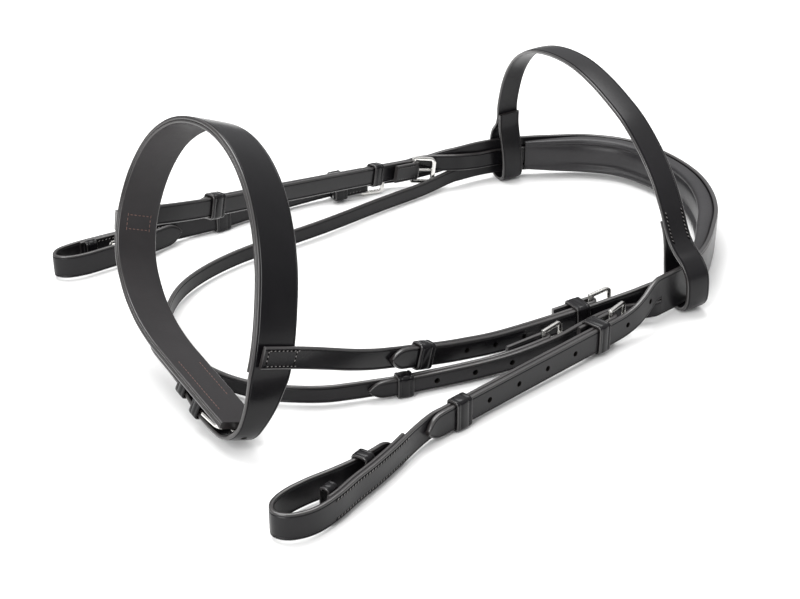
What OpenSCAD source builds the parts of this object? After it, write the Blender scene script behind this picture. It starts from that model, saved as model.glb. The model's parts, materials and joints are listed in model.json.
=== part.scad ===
// Snaffle bridle headstall, lying free with its straps standing on edge.
// +X runs from the bit ends towards the crown, +Y towards the far cheek, +Z up.

/* [Leather] */
// Width of the cheekpieces and cheek points
strap_w = 16; // [15:0.5:17]
// Width of the sliphead and the noseband straps it buckles to
slip_w = 13; // [12:0.5:13.5]
// Width of the throatlash
throat_w = 11; // [10:0.5:11.5]
// Width of the headpiece over the poll
crown_w = 28; // [27:0.5:29]
// Width of the noseband
nose_w = 27; // [25:0.5:28]
// Width of the browband
brow_w = 17; // [15:0.5:18]
// Thickness of the headpiece, its points and the sliphead
point_t = 3; // [2.6:0.1:3]
// Thickness of the buckled straps
ply_t = 2.6; // [2.2:0.1:2.6]
// Thickness of the noseband's outer layer
nose_t = 2.4; // [2:0.1:2.4]
// Thickness of the noseband's lining
lining_t = 2; // [1.5:0.1:2]
// Thickness of the browband
brow_t = 2.4; // [2:0.1:2.4]

/* [Keepers] */
// Wall thickness of a keeper
keeper_t = 1.6; // [1.2:0.1:1.6]
// Length of a fixed keeper along its strap
keeper_len = 12; // [8:1:12]
// Length of a sliding runner along its strap
runner_len = 10; // [8:1:12]
// Clearance between a keeper and what it holds
keeper_gap = 0.3; // [0.3:0.05:0.4]

/* [Buckles] */
// Radius of the hinge bar
wire_r = 1.5; // [1.3:0.1:1.5]
// Thickness of the flat frame
frame_t = 2.4; // [2:0.1:2.6]
// Width of the frame's side bars
side_w = 3; // [2.4:0.1:3]
// Distance from the hinge bar to the far bar
buckle_len = 16; // [15:0.5:17]
// Width of the tongue's eye along the bar
eye_w = 4; // [3:0.5:4]
// Running clearance in the tongue's eye
eye_gap = 0.05; // [0.03:0.01:0.08]

/* [Holes] */
// Radius of the punched holes
hole_r = 1.6; // [1:0.1:2]
// Distance between the holes
hole_pitch = 25; // [20:1:26]

/* [Hidden] */
$fn = 40;

black = [0.07, 0.07, 0.08];
silver = [0.78, 0.78, 0.8];
up = [0, 0, 1];

// Offsets across a buckled stack: strap ply, hinge bar, then the ply turned back over the bar
fold_gap = 0.3;
fold_r = wire_r + fold_gap + ply_t / 2;
turn_back = 26;
lap = 0.2;
point_side = ply_t / 2 + lap + point_t / 2;
stack_out = ply_t / 2 + lap + point_t;
stack_in = ply_t / 2;
stack_in_fold = 2 * fold_r + ply_t / 2;

// Heights of the straps that stand on the table
strap_z = 10.2;
throat_z = 7.7;
crown_z = 18.4;
slip_z = 18.5;
upper_z = crown_z + (crown_w - strap_w) / 2;
lower_z = crown_z - (crown_w - throat_w) / 2;

// The headpiece over the poll, from the near slit to the far slit
crown_path = [[85, -119.6, crown_z], [103, -117.6, crown_z], [123, -112.8, crown_z],
    [146, -102, crown_z], [170, -85.5, crown_z], [193, -67, crown_z], [213, -44, crown_z],
    [228, -19, crown_z], [237, 8, crown_z], [240, 36, crown_z], [235, 66, crown_z],
    [218, 90, crown_z], [195, 106, crown_z], [173, 118.6, crown_z], [156, 125.8, crown_z],
    [138, 129.6, crown_z], [120, 130.6, crown_z]];

// The near cheek point runs dead straight once it is down at strap height
near_point_path = [[84.95, -119.61, upper_z], [82, -119.93, upper_z], [76, -121.5, 23],
    [67, -124.3, 19], [57, -126.5, 15.4], [46, -127.9, 13.2], [36, -129.05, 12.6], [0, -133.1, 12.1],
    [-40, -137.5, 11.5], [-80, -142, 10.8], [-112, -145.71, 10.33], [-120, -146.85, 10.2],
    [-127, -148.9, 10.2]];

near_throat_path = [[84.95, -119.61, lower_z], [82, -119.7, lower_z], [76, -117, 9.5], [66, -112.2, 9.4],
    [54, -109.6, 9.6], [40, -109.9, 9.8], [22, -112.3, 9.8], [6, -115, 9.8], [-8, -115.8, 9.6],
    [-24, -115.05, 8.9], [-40, -112.8, 8.1], [-58, -108.9, throat_z], [-74, -105, throat_z],
    [-88, -101.2, throat_z], [-100, -97.8, throat_z], [-112, -93.9, throat_z],
    [-124, -89.5, throat_z]];

far_point_path = [[119.95, 130.61, upper_z], [117, 130.8, upper_z], [111, 134.8, 22.6],
    [103, 142, 18.6], [92, 150.2, 14.8], [80, 156.8, 12.8], [66, 161.8, 12.4], [48, 165.3, 12.3],
    [24, 169.2, 11.8], [0, 172, 11], [-24, 173.2, 10.5], [-48, 172.7, strap_z],
    [-72, 171.8, strap_z], [-97, 174.2, strap_z]];

throatlash_path = [[119.95, 130.61, lower_z], [117, 130.7, lower_z], [108, 130.2, 9.3],
    [98, 129, 8.6], [80, 127, throat_z], [55, 124.8, throat_z], [30, 122.2, throat_z],
    [5, 119, throat_z], [-20, 116.4, throat_z], [-45, 114.8, throat_z], [-68, 113, throat_z],
    [-90, 110.6, throat_z], [-110, 106.2, throat_z], [-129, 99.4, throat_z],
    [-146, 90, throat_z], [-160, 78, throat_z], [-172, 63, throat_z], [-181, 45, throat_z],
    [-187, 25, throat_z], [-189.5, 4, throat_z], [-188, -17, throat_z], [-182, -37, throat_z],
    [-171.5, -54.5, throat_z], [-158.5, -67.4, throat_z], [-145, -77.2, throat_z],
    [-132, -83, throat_z], [-120, -87.6, throat_z], [-107, -92.4, throat_z],
    [-94, -96.4, throat_z], [-76, -101.4, throat_z], [-58, -105.8, throat_z],
    [-42, -109.4, 8], [-24, -112, 8.9], [-6, -112.9, 9.7]];

// Noseband straps: tab on the noseband first, then up to the buckle
near_nose_path = [[-202.5, -101.9, 62.8], [-181, -101.8, 55.6], [-160, -99.6, 46.8],
    [-142, -97.2, 38.8], [-124, -94.4, 31.6], [-108, -92, 26.3], [-94, -90.2, 22.2],
    [-80, -89, 18.3], [-66, -88.4, 14.9], [-52, -88.3, 12.3], [-30, -89.6, 9.6], [-6, -91.6, 8.9],
    [16, -94, 9.2], [34, -96.6, 10.2], [46, -98.7, 11.2]];
far_nose_path = [[-197, 73.4, 78.4], [-174, 73.4, 75], [-154, 76.2, 70.8], [-134, 81.4, 66],
    [-112, 87.8, 61], [-72, 98.8, 52.7], [-32, 109.8, 44.3], [8, 120.7, 36], [48, 131.7, 27.6],
    [82, 141, 20.5]];

// The sliphead lies outside the noseband straps and inside the headpiece
sliphead_side = 3.4;
sliphead_near = [[-112, -95.6, 27.4], [-108, -95, 26.3], [-94, -93.2, 22.2], [-80, -92, 18.3],
    [-66, -91.4, 14.9], [-52, -91.3, 12.3], [-30, -92.6, 9.6], [-6, -94.6, 8.9], [16, -97, 9.2],
    [34, -99.6, 10.2], [46, -101.7, 11.2], [58, -104.4, 12.8], [72, -108, 15], [86, -111, 17.4],
    [103, -112.9, slip_z]];
sliphead_far = [[118.5, 126.4, 21.6], [110, 130.7, 22], [101, 138.4, 21.4], [91, 143.7, 20.8],
    [81.2, 143.9, 20.5], [47.2, 134.6, 27.6], [7.2, 123.6, 36], [-32.8, 112.7, 44.3],
    [-72.8, 101.7, 52.7], [-112.8, 90.7, 61], [-136, 83.9, 66.2]];

// Cheekpieces: billet tip, back round the bit loop, then up to the buckle
near_cheek_path = [[-150, -148.6, strap_z], [-165, -152.6, strap_z], [-180, -154.8, strap_z],
    [-196, -155.4, strap_z], [-212, -155.2, strap_z], [-227, -157, strap_z],
    [-237, -161.6, strap_z], [-240.6, -169, strap_z], [-235.5, -176, strap_z],
    [-223, -179.2, strap_z], [-207, -176.3, strap_z], [-190, -170, strap_z],
    [-172, -164, strap_z], [-154, -157, strap_z], [-136, -149.2, strap_z],
    [-120, -143.55, strap_z], [-112, -142.64, 10.32], [-80, -139, 10.8], [-40, -134.5, 11.5],
    [0, -130.1, 12.1], [38, -125.8, 12.7]];
far_cheek_path = [[-103, 167.4, strap_z], [-120, 164.6, strap_z], [-136, 162, strap_z],
    [-152, 160.2, strap_z], [-168, 159.4, strap_z], [-183, 159.6, strap_z],
    [-194, 163, strap_z], [-198.6, 170, strap_z], [-193, 177, strap_z], [-180, 179.4, strap_z],
    [-164, 179, strap_z], [-146, 177.8, strap_z], [-126, 175.2, strap_z], [-110, 172.7, strap_z],
    [-97, 171.1, strap_z], [-84, 169.8, strap_z], [-72, 168.8, strap_z], [-60, 169.1, strap_z],
    [-48, 169.65, strap_z], [-24, 170.15, 10.5], [0, 169, 11],
    [24, 166.2, 11.8], [50, 161.9, 12.3]];

// The noseband lies in a leaning plane: Y across, height up the lean, band width along the normal
ring_x = -227;
ring_z = 8.6;
lean = 21;
nose_path = [[-87, 11.6], [-66, 14.6], [-44, 18], [-22, 21.4], [0, 25.2], [21, 31.6], [42, 43], [60, 60.5],
    [68.4, 83], [68, 110], [58, 134], [39.5, 150], [15, 157.5], [-10.5, 157], [-36, 148],
    [-59, 131], [-78.5, 106.5], [-91, 80], [-98, 57], [-99.8, 36], [-98.6, 23], [-94.8, 12],
    [-89.2, 6.3], [-82, 3.8], [-73, 3.9], [-64, 4.8], [-57, 5.8], [-49, 8], [-36, 12.6], [-20, 16],
    [0, 19.4], [14, 23.4]];
billet_w = 17;
chin_bar = [-66.5, 10];
chin_turn = 182;
chin_r = 1.2;

// The browband: a loop at each end round the headpiece, joined by half an ellipse
brow_base = [113.3, -119.7, 0];
brow_yaw = 11.5;
brow_lean = 5;
brow_arch = [[14.6, 51.4], [20.4, 64], [30.6, 81], [45, 96], [64.4, 110], [83.4, 118.4], [104, 125.2],
    [127, 129.6], [150, 129.8], [171, 127], [189.6, 121.6], [206, 112.6], [218.6, 101],
    [228, 87.6], [234.6, 73.6], [238.6, 62]];
near_loop = [[20.4, 57], [17.8, 51], [16.4, 44], [16, 36], [15.9, 27], [15.6, 17], [15.2, 6.4],
    [11.6, 1.8], [3.6, 1.5], [-3.4, 2.6], [-8.2, 8], [-9.8, 18], [-8.8, 27.6], [-3.2, 35],
    [4.2, 39.4], [10.6, 45]];
far_loop = [[239.8, 54], [243, 47], [248.8, 41], [252.8, 33], [254, 22], [254.2, 11],
    [252.6, 4], [248.2, 1.5], [241.4, 1.5], [236.8, 4], [234.8, 10.6], [234.4, 20], [235.2, 30], [236.6, 39],
    [237.4, 47], [236.2, 57]];

// ---- paths ----

function unit(v) = v / norm(v);

// Running length at each point of a path
function run(p) = [for (i = 0, s = 0; i < len(p);
    s = s + (i + 1 < len(p) ? norm(p[i + 1] - p[i]) : 0), i = i + 1) s];

function slope(p, t, i) = let (a = max(i - 1, 0), b = min(i + 1, len(p) - 1))
    (p[b] - p[a]) / (t[b] - t[a]);

function blend(p, t, i, u) = let (h = t[i + 1] - t[i])
    (2 * u * u * u - 3 * u * u + 1) * p[i] + (u * u * u - 2 * u * u + u) * h * slope(p, t, i)
    + (3 * u * u - 2 * u * u * u) * p[i + 1] + (u * u * u - u * u) * h * slope(p, t, i + 1);

// A smooth curve through all the points of p, with a point about every step millimetres
function smooth(p, step = 6) = let (t = run(p)) concat(
    [for (i = [0 : len(p) - 2])
        let (n = max(1, ceil((t[i + 1] - t[i]) / step)))
            for (j = [0 : n - 1]) blend(p, t, i, j / n)],
    [p[len(p) - 1]]);

function track(p, step = 6) = let (q = smooth(p, step)) [q, run(q)];
function total(c) = c[1][len(c[1]) - 1];
function at(c, s) = [for (k = [0 : len(c[0][0]) - 1])
    lookup(s, [for (i = [0 : len(c[0]) - 1]) [c[1][i], c[0][i][k]]])];
function heading(c, s) = unit(at(c, s + 0.4) - at(c, s - 0.4));
function stretch(c, from, to, step = 6) = let (n = ceil((to - from) / step))
    [for (i = [0 : n]) at(c, from + (to - from) * i / n)];

// Direction of travel, and the level direction to its left, at point i of a path
function travel(p, i) = unit(p[min(i + 1, len(p) - 1)] - p[max(i - 1, 0)]);
function left(p, i) = unit(cross(up, travel(p, i)));
function shift(p, side) = [for (i = [0 : len(p) - 1]) p[i] + side * left(p, i)];

// A strap's end carried round its buckle bar and laid back on itself; inner is 1 or -1
function turned(p, inner) = let (n = len(p) - 1, e = p[n], d = travel(p, n), l = inner * left(p, n))
    concat(p, [for (a = [22.5 : 22.5 : 180])
        e + l * fold_r * (1 - cos(a)) + d * fold_r * sin(a)],
        [e + l * 2 * fold_r - d * turn_back / 2, e + l * 2 * fold_r - d * turn_back]);

// Points added near an end, so that a tapered tip comes out round
function tipped(p, first, last) = let (c = [p, run(p)], e = total(c), f = [0, 0.04, 0.14, 0.3, 0.5, 0.75])
    concat(first > 0 ? [for (k = f) at(c, first * k)] : [],
        [for (i = [0 : len(p) - 1]) if (c[1][i] >= first && c[1][i] <= e - last) p[i]],
        last > 0 ? [for (k = [5 : -1 : 0]) at(c, e - last * f[k])] : []);
function narrowing(d, tip) = tip == 0 || d >= tip ? 1 : max(0.16, pow(1 - pow(1 - d / tip, 2), 0.72));

// ---- building blocks ----

// A flat strap along the points p, standing on edge: w high and t thick
module strap(p, w, t, first = 0, last = 0, widths = [], square_to = []) {
    q = tipped(p, first, last);
    s = run(q);
    e = s[len(s) - 1];
    n = len(q);
    ring = [for (i = [0 : n - 1])
        let (bent = len(square_to) > 0 && i > n - 14,
            h = bent ? square_to : cross(travel(q, i), left(q, i)),
            l = bent ? unit(cross(h, travel(q, i))) : left(q, i),
            wide = len(widths) > 0 ? lookup(s[i], widths) : w,
            half = wide / 2 * min(narrowing(s[i], first), narrowing(e - s[i], last)))
                for (k = [[-1, -1], [1, -1], [1, 1], [-1, 1]]) q[i] + l * k[0] * t / 2 + h * k[1] * half];
    sides = [for (i = [0 : n - 2]) for (k = [0 : 3])
        let (a = 4 * i + k, b = 4 * i + (k + 1) % 4)
            for (f = [[a, b + 4, b], [a, a + 4, b + 4]]) f];
    polyhedron(ring, concat([[0, 1, 2], [0, 2, 3]], sides,
        [[4 * n - 4, 4 * n - 2, 4 * n - 3], [4 * n - 4, 4 * n - 1, 4 * n - 2]]));
}

// Local frame on a track: X along it, Y level to the left, Z up
module on(c, s) {
    d = heading(c, s);
    translate(at(c, s)) rotate([0, -asin(d[2]), atan2(d[1], d[0])]) children();
}

// Punched holes in a strap: places are distances along its track
module punched(c, places) {
    difference() {
        children();
        for (s = places) on(c, s) rotate([90, 0, 0]) cylinder(r = hole_r, h = 12, center = true, $fn = 20);
    }
}

module rounded(a, b, r) {
    square([a - 2 * r, b], center = true);
    square([a, b - 2 * r], center = true);
    for (i = [-1, 1]) for (j = [-1, 1]) translate([i * (a / 2 - r), j * (b / 2 - r)]) circle(r);
}

// A closed keeper round a stack that reaches from y0 to y1 across and w high
module keeper(y0, y1, w, length) {
    a = y1 - y0 + 2 * keeper_gap;
    b = w + 2 * keeper_gap;
    translate([-length / 2, (y0 + y1) / 2, 0]) rotate([90, 0, 90]) linear_extrude(length)
        difference() {
            rounded(a + 2 * keeper_t, b + 2 * keeper_t, 1.4);
            rounded(a, b, 0.5);
        }
}

// A flat buckle frame: round hinge bar on the Z axis at the origin, far bar at +X
module buckle(w, length, r) {
    inside = w + 1.6;
    height = inside + 2 * side_w;
    cylinder(r = r, h = inside + side_w, center = true);
    translate([0, frame_t / 2, 0]) rotate([90, 0, 0]) linear_extrude(frame_t) difference() {
        translate([(length + 2 - r) / 2, 0]) rounded(length + 2 + r, height, 2.6);
        translate([(length - 2 - r - 1) / 2, 0]) rounded(length - 2 + r + 1, inside, 1);
    }
}

// A tongue whose eye turns on the hinge bar and whose tip lies past the far bar; side is 1 or -1
module tongue(length, r, side) {
    reach = frame_t / 2 + 1.55;
    difference() {
        union() {
            cylinder(r = r + 1.25, h = eye_w, center = true);
            rotate([0, 0, side * asin(reach / (length + 1))]) translate([r + 0.6, 0, 0])
                rotate([0, 90, 0]) cylinder(r = 1, h = length - r + 0.4);
        }
        cylinder(r = r + eye_gap, h = eye_w + 1, center = true);
    }
}

// Slot in the fold of a strap where the tongue comes through
module tongue_slot(inner) {
    translate([-4, inner * fold_r - 5, -eye_w / 2 - 0.4]) cube([14, 10, eye_w + 0.8]);
}

// A buckled strap with its end turned back over the bar
module chaped(c, inner, w, first) {
    difference() {
        strap(turned(c[0], inner), w, ply_t, first,
            square_to = cross(heading(c, total(c)), left(c[0], len(c[0]) - 1)));
        on(c, total(c)) tongue_slot(inner);
    }
}

module at_bar(c, inner, swing) {
    on(c, total(c)) translate([0, inner * fold_r, 0]) rotate([0, 0, swing]) children();
}

// A mushroom stud that stands inward off the backing of a cheekpiece
module hook_stud(inner) {
    rotate([-90 * inner, 0, 0]) {
        cylinder(r = 3.6, h = 0.8);
        cylinder(r = 1.3, h = 3);
        translate([0, 0, 2.6]) cylinder(r = 2.4, h = 1);
    }
}

// ---- tracks ----

crown = track(crown_path);
near_point = track(near_point_path, 8);
near_throat = track(near_throat_path);
far_point = track(far_point_path);
throat = track(throatlash_path);
near_nose = track(near_nose_path);
far_nose = track(far_nose_path);
near_cheek = track(near_cheek_path, 5);
far_cheek = track(far_cheek_path, 5);
slip = track(concat(sliphead_near, shift([for (i = [2 : len(crown_path) - 2])
    [crown_path[i][0], crown_path[i][1], slip_z]], sliphead_side), sliphead_far));
nose = track([for (p = nose_path) [p[0], p[1], nose_w / 2]], 5);
brow = track(concat(near_loop, brow_arch, far_loop), 4);

// Places along the cheekpieces, measured from the billet's tip
near_billet_s = 172;
near_stud_s = 159.4;
near_bit_s = 138;
near_backing = [132, 203];
far_billet_s = 173;
far_stud_s = 151;
far_bit_s = 133;
far_backing = [127, 194];
backing_t = 2.2;
backing_side = ply_t / 2 + backing_t / 2 + 0.05;

// ---- headpiece ----

module headpiece() {
    color(black) strap(crown[0], crown_w, point_t);
}

module near_cheek_point() {
    e = total(near_point);
    color(black) punched(near_point, [for (i = [0 : 6]) e - 50.4 - i * hole_pitch])
        strap(near_point[0], strap_w, point_t, 0, 13);
}

module near_throat_point() {
    e = total(near_throat);
    color(black) punched(near_throat, [for (i = [0 : 2]) e - 42 - i * hole_pitch])
        strap(near_throat[0], throat_w, point_t, 0, 10);
}

module far_cheek_point() {
    e = total(far_point);
    color(black) punched(far_point, [for (i = [0 : 5]) e - 44 - i * hole_pitch])
        strap(far_point[0], strap_w, point_t, 0, 13);
}

module throatlash() {
    color(black) chaped(throat, 1, throat_w, 0);
}

// Two padded rolls and a centre panel, hollowed where the sliphead lies, tapering at both ends
module poll_pad() {
    p = stretch(crown, 43, total(crown) - 58, 7);
    n = len(p) - 1;
    section = [[5.3, 8.6], [1.8, 8.8], [1.8, 12.2], [4.2, 13.8], [8.4, 14.2], [11.6, 13.2],
        [12.2, 10.6], [9.7, 8.2], [10.8, 4.6]];
    loop = concat(section, [for (i = [8 : -1 : 0]) [section[i][0], -section[i][1]]]);
    m = len(loop);
    ring = [for (i = [0 : n])
        let (l = left(p, i), fade = min(1, (i + 0.6) / 13, (n - i + 0.6) / 9),
            k = 0.16 + 0.84 * sin(90 * fade))
                for (v = loop)
                    let (deep = v[0] > 5.3 ? 5.3 + (v[0] - 5.3) * k : v[0],
                        high = abs(v[1]) > 8.8 ? 8.8 + (abs(v[1]) - 8.8) * (0.3 + 0.7 * k) : abs(v[1]))
                            p[i] + l * deep + up * (v[1] > 0 ? high : -high)];
    bodies = [for (i = [0 : n - 1]) for (j = [0 : m - 1])
        let (a = m * i + j, b = m * i + (j + 1) % m)
            for (f = [[a, b, b + m], [a, b + m, a + m]]) f];
    color(black) polyhedron(ring, concat([[for (j = [m - 1 : -1 : 0]) j]], bodies,
        [[for (j = [0 : m - 1]) n * m + j]]));
}

module sliphead() {
    e = total(slip);
    color(black) punched(slip, concat([for (i = [0 : 4]) 61.4 + i * 22], [for (i = [0 : 4]) e - 60 - i * 22]))
        strap(slip[0], slip_w, point_t, 11, 11);
}

// ---- browband ----

// Frame of the browband: X from near to far, Y up, Z across the band
module at_brow() {
    translate(brow_base) rotate([0, 0, -brow_yaw]) rotate([0, -brow_lean, 0])
        translate([-brow_w / 2, 0, 0.8]) rotate([90, 0, 90]) children();
}

module flat_strap(p, t) {
    n = len(p) - 1;
    side = [for (i = [0 : n]) let (d = unit(p[min(i + 1, n)] - p[max(i - 1, 0)])) [-d[1], d[0]]];
    polygon(concat([for (i = [0 : n]) p[i] + side[i] * t / 2],
        [for (i = [n : -1 : 0]) p[i] - side[i] * t / 2]));
}

module browband() {
    color(black) at_brow() linear_extrude(brow_w) flat_strap(brow[0], brow_t);
}

// ---- noseband ----

// Frame of the noseband: X across, Y up the lean, Z along the band's width
module at_ring() {
    translate([ring_x, 0, ring_z]) rotate([0, lean, 0]) rotate([90, 0, 90]) children();
}

module noseband() {
    e = total(nose);
    color(black) at_ring() punched(nose, [e - 110, e - 88])
        strap(nose[0], nose_w, nose_t, 0, 13,
            [[0, nose_w], [e - 150, nose_w], [e - 118, billet_w], [e, billet_w]]);
}

module noseband_lining() {
    e = total(nose);
    color(black) at_ring()
        strap(shift(stretch(nose, 0, e - 152, 5), (nose_t + lining_t) / 2 + 0.02), nose_w, lining_t);
}

// The chape lies under the band's end and holds the chin buckle
chape_t = 1.6;

module chin_chape() {
    r = chin_r + 0.2 + chape_t / 2;
    b = chin_bar;
    m = nose_w / 2;
    p = concat([[-30, b[1] + r + 5.85, m], [-44, b[1] + r + 3.7, m], [-58, b[1] + r + 1.4, m],
        [b[0], b[1] + r, m]],
        [for (a = [22.5 : 22.5 : 180]) [b[0] - r * sin(a), b[1] + r * cos(a), m]],
        [[b[0] + 4, b[1] - r + 0.1, m], [b[0] + 8, b[1] - r + 0.4, m]]);
    color(black) at_ring() difference() {
        strap(p, strap_w, chape_t, square_to = [0, 0, 1]);
        translate([b[0] - 6, b[1] - 6, m - eye_w / 2 - 0.4]) cube([11, 12, eye_w + 0.8]);
    }
}

module at_chin() {
    at_ring() translate([chin_bar[0], chin_bar[1], nose_w / 2]) rotate([0, 0, chin_turn]) children();
}

// A keeper sewn to the band's outside, open towards the band
module chin_keeper(a, deep, length) {
    on_band = 10.2 + (a + 87) * 0.152;
    b = billet_w + 2 * keeper_gap;
    at_ring() translate([a, on_band, nose_w / 2]) rotate([0, 0, 8.7]) translate([-length / 2, 0, 0])
        difference() {
            translate([0, -deep - keeper_t, -b / 2 - keeper_t])
                cube([length, deep + keeper_t, b + 2 * keeper_t]);
            translate([-1, -deep, -b / 2]) cube([length + 2, deep + 1, b]);
        }
}

// ---- the straps and their fittings ----

module near_cheekpiece() {
    color(black) chaped(near_cheek, 1, strap_w, 13);
}

module far_cheekpiece() {
    color(black) chaped(far_cheek, -1, strap_w, 13);
}

module near_nose_strap() {
    color(black) chaped(near_nose, 1, slip_w, 0);
}

module far_nose_strap() {
    color(black) chaped(far_nose, -1, slip_w, 0);
}

module backing(c, range, side) {
    color(black) strap(shift(stretch(c, range[0], range[1], 6), side * backing_side), strap_w, backing_t);
}

module frame_of(c, inner, w, swing) {
    color(silver) at_bar(c, inner, swing) buckle(w, buckle_len, wire_r);
}

module tongue_of(c, inner, swing) {
    color(silver) at_bar(c, inner, swing) tongue(buckle_len, wire_r, -inner);
}

// A keeper over the point and the strap beneath it, back from the bar by a distance
module keeper_of(c, inner, back, w, length, folded) {
    y0 = -stack_out;
    y1 = folded ? stack_in_fold : stack_in;
    color(black) on(c, total(c) - back)
        keeper(inner > 0 ? y0 : -y1, inner > 0 ? y1 : -y0, w, length);
}

// A keeper sewn to the inside of a cheekpiece's backing, deep across
module loop_keeper(c, s, inner, deep) {
    y0 = backing_side + backing_t / 2 + 0.2 + keeper_t + keeper_gap;
    color(black) on(c, s) keeper(inner > 0 ? y0 : -y0 - deep, inner > 0 ? y0 + deep : -y0, strap_w, 8);
}

module stud_of(c, s, inner) {
    color(silver) on(c, s) translate([0, inner * (backing_side + backing_t / 2 + 0.1), 0])
        hook_stud(inner);
}

headpiece();
near_cheek_point();
near_throat_point();
far_cheek_point();
throatlash();
poll_pad();
sliphead();
browband();
noseband();
noseband_lining();
chin_chape();
color(silver) at_chin() buckle(billet_w, 15.5, chin_r);  // chin_buckle
color(silver) at_chin() tongue(15.5, chin_r, 1);  // chin_tongue
color(black) chin_keeper(-38, 8, 9);  // chin_keeper_upper
color(black) chin_keeper(-56, 10.4, 8);  // chin_keeper_lower
near_nose_strap();
frame_of(near_nose, 1, slip_w, 8);  // near_nose_buckle
tongue_of(near_nose, 1, 8);  // near_nose_tongue
keeper_of(near_nose, 1, 134, slip_w, keeper_len, false);  // near_nose_keeper
keeper_of(near_nose, 1, 10.2, slip_w, runner_len, true);  // near_nose_runner
far_nose_strap();
frame_of(far_nose, -1, slip_w, -34);  // far_nose_buckle
tongue_of(far_nose, -1, -34);  // far_nose_tongue
keeper_of(far_nose, -1, 213, slip_w, keeper_len, false);  // far_nose_keeper
keeper_of(far_nose, -1, 42, slip_w, runner_len, false);  // far_nose_runner
near_cheekpiece();
backing(near_cheek, near_backing, 1);  // near_cheek_backing
frame_of(near_cheek, 1, strap_w, 8);  // near_cheek_buckle
tongue_of(near_cheek, 1, 8);  // near_cheek_tongue
keeper_of(near_cheek, 1, 138, strap_w, keeper_len, false);  // near_cheek_keeper
keeper_of(near_cheek, 1, 15, strap_w, runner_len, true);  // near_cheek_runner
loop_keeper(near_cheek, near_billet_s, 1, 6.9);  // near_billet_keeper
loop_keeper(near_cheek, near_bit_s, 1, 3.2);  // near_bit_keeper
stud_of(near_cheek, near_stud_s, 1);  // near_hook_stud
far_cheekpiece();
backing(far_cheek, far_backing, -1);  // far_cheek_backing
frame_of(far_cheek, -1, strap_w, -8);  // far_cheek_buckle
tongue_of(far_cheek, -1, -8);  // far_cheek_tongue
keeper_of(far_cheek, -1, 119, strap_w, keeper_len, false);  // far_cheek_keeper
keeper_of(far_cheek, -1, 20, strap_w, runner_len, true);  // far_cheek_runner
loop_keeper(far_cheek, far_billet_s, -1, 10.6);  // far_billet_keeper
loop_keeper(far_cheek, far_bit_s, -1, 3.2);  // far_bit_keeper
stud_of(far_cheek, far_stud_s, -1);  // far_hook_stud
frame_of(throat, 1, throat_w, 12);  // throat_buckle
tongue_of(throat, 1, 12);  // throat_tongue
keeper_of(throat, 1, 98.5, throat_w, runner_len, false);  // throat_runner
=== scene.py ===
import json
import math

import bmesh
import bpy
import numpy as np
from mathutils import Matrix, Vector


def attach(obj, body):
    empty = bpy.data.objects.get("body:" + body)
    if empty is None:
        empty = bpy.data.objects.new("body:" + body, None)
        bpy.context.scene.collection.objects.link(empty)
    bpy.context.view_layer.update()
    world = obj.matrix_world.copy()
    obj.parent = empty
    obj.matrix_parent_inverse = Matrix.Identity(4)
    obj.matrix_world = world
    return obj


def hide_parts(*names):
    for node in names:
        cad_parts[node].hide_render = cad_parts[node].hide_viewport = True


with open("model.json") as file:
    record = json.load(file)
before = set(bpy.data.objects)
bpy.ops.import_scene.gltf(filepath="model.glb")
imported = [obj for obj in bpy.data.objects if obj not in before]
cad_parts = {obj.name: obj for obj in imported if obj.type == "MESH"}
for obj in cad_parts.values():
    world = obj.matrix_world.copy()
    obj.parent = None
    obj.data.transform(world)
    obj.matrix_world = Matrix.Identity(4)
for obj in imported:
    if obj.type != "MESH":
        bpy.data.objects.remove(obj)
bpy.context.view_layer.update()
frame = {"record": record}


body_of = {n: b for b, ns in frame["record"]["behaviour"]["bodies"].items() for n in ns}
M = 0.001
UP = np.array([0.0, 0.0, 1.0])

# ---- sizes, in millimetres, as in the CAD source ----
STRAP_W, SLIP_W, THROAT_W, CROWN_W, NOSE_W, BROW_W = 16, 13, 11, 28, 27, 17
POINT_T, PLY_T, NOSE_T, LINING_T, BROW_T = 3, 2.6, 2.4, 2, 2.4
KEEPER_T, KEEPER_LEN, RUNNER_LEN, GAP = 1.6, 12, 10, 0.3
WIRE_R, CHIN_R, FRAME_T, SIDE_W, BUCKLE_LEN, EYE_W = 1.5, 1.2, 2.4, 3, 16, 4
HOLE_R, PITCH = 1.8, 25
FOLD_R = WIRE_R + 0.3 + PLY_T / 2
STACK_OUT = PLY_T / 2 + 0.2 + POINT_T
STACK_IN, STACK_FOLD = PLY_T / 2, 2 * FOLD_R + PLY_T / 2
Z0, ZT, ZC, ZS = 10.2, 7.7, 18.4, 18.5
ZU, ZL = ZC + (CROWN_W - STRAP_W) / 2, ZC - (CROWN_W - THROAT_W) / 2
BACK_T = 2.2
CHAPE_T = 1.6
BACK_SIDE = PLY_T / 2 + BACK_T / 2 + 0.05
BILLET_W = 17
SLIP_PITCH = 22
TIP, SLIP_TIP, THROAT_TIP = 13, 11, 10
# measured back from the tip of the noseband's billet
TAPER_FROM, TAPER_TO, LINING_STOP = 150, 118, 152
BILLET_HOLES = (110, 88)
# how far the poll pad stops short of the crown's two ends, and how long it takes to fill out
PAD_STOPS, PAD_FADES = (43, 58), (91, 63)

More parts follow.
